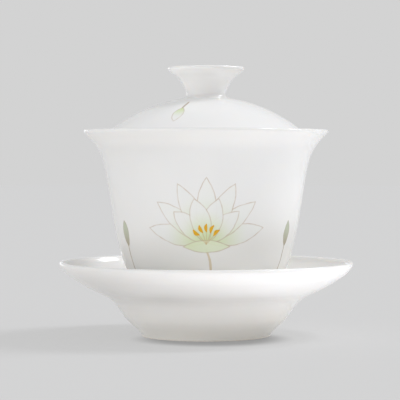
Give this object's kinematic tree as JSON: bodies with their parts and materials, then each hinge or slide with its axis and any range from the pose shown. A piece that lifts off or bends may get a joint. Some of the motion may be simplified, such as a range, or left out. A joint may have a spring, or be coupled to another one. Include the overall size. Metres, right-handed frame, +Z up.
{
  "type": "gaiwan",
  "caption": "White porcelain lidded tea bowl: tall bowl with a flared rim, domed lid with a hollow trumpet knob, and a wide saucer on a deep foot.",
  "frame": {"origin": "middle of the saucer's foot ring, on the surface that it stands on", "axes": "+Z up along the axis that every piece is turned about; -Y towards the front, where the flower is printed"},
  "size_m": [0.1104, 0.1104, 0.1013],
  "materials": {
    "saucer_glaze": "gloss",
    "bowl_glaze": "gloss",
    "lid_glaze": "gloss"
  },
  "bodies": {
    "saucer": {"saucer": "saucer_glaze"},
    "bowl": {"bowl": "bowl_glaze"},
    "lid": {"lid": "lid_glaze"}
  },
  "joints": [
    {"name": "bowl_lift", "type": "slide", "parent": "saucer", "child": "bowl", "axis": [0, 0, 1], "range_m": [0, 0.05]},
    {"name": "lid_lift", "type": "slide", "parent": "bowl", "child": "lid", "axis": [0, 0, 1], "range_m": [0, 0.05]}
  ]
}
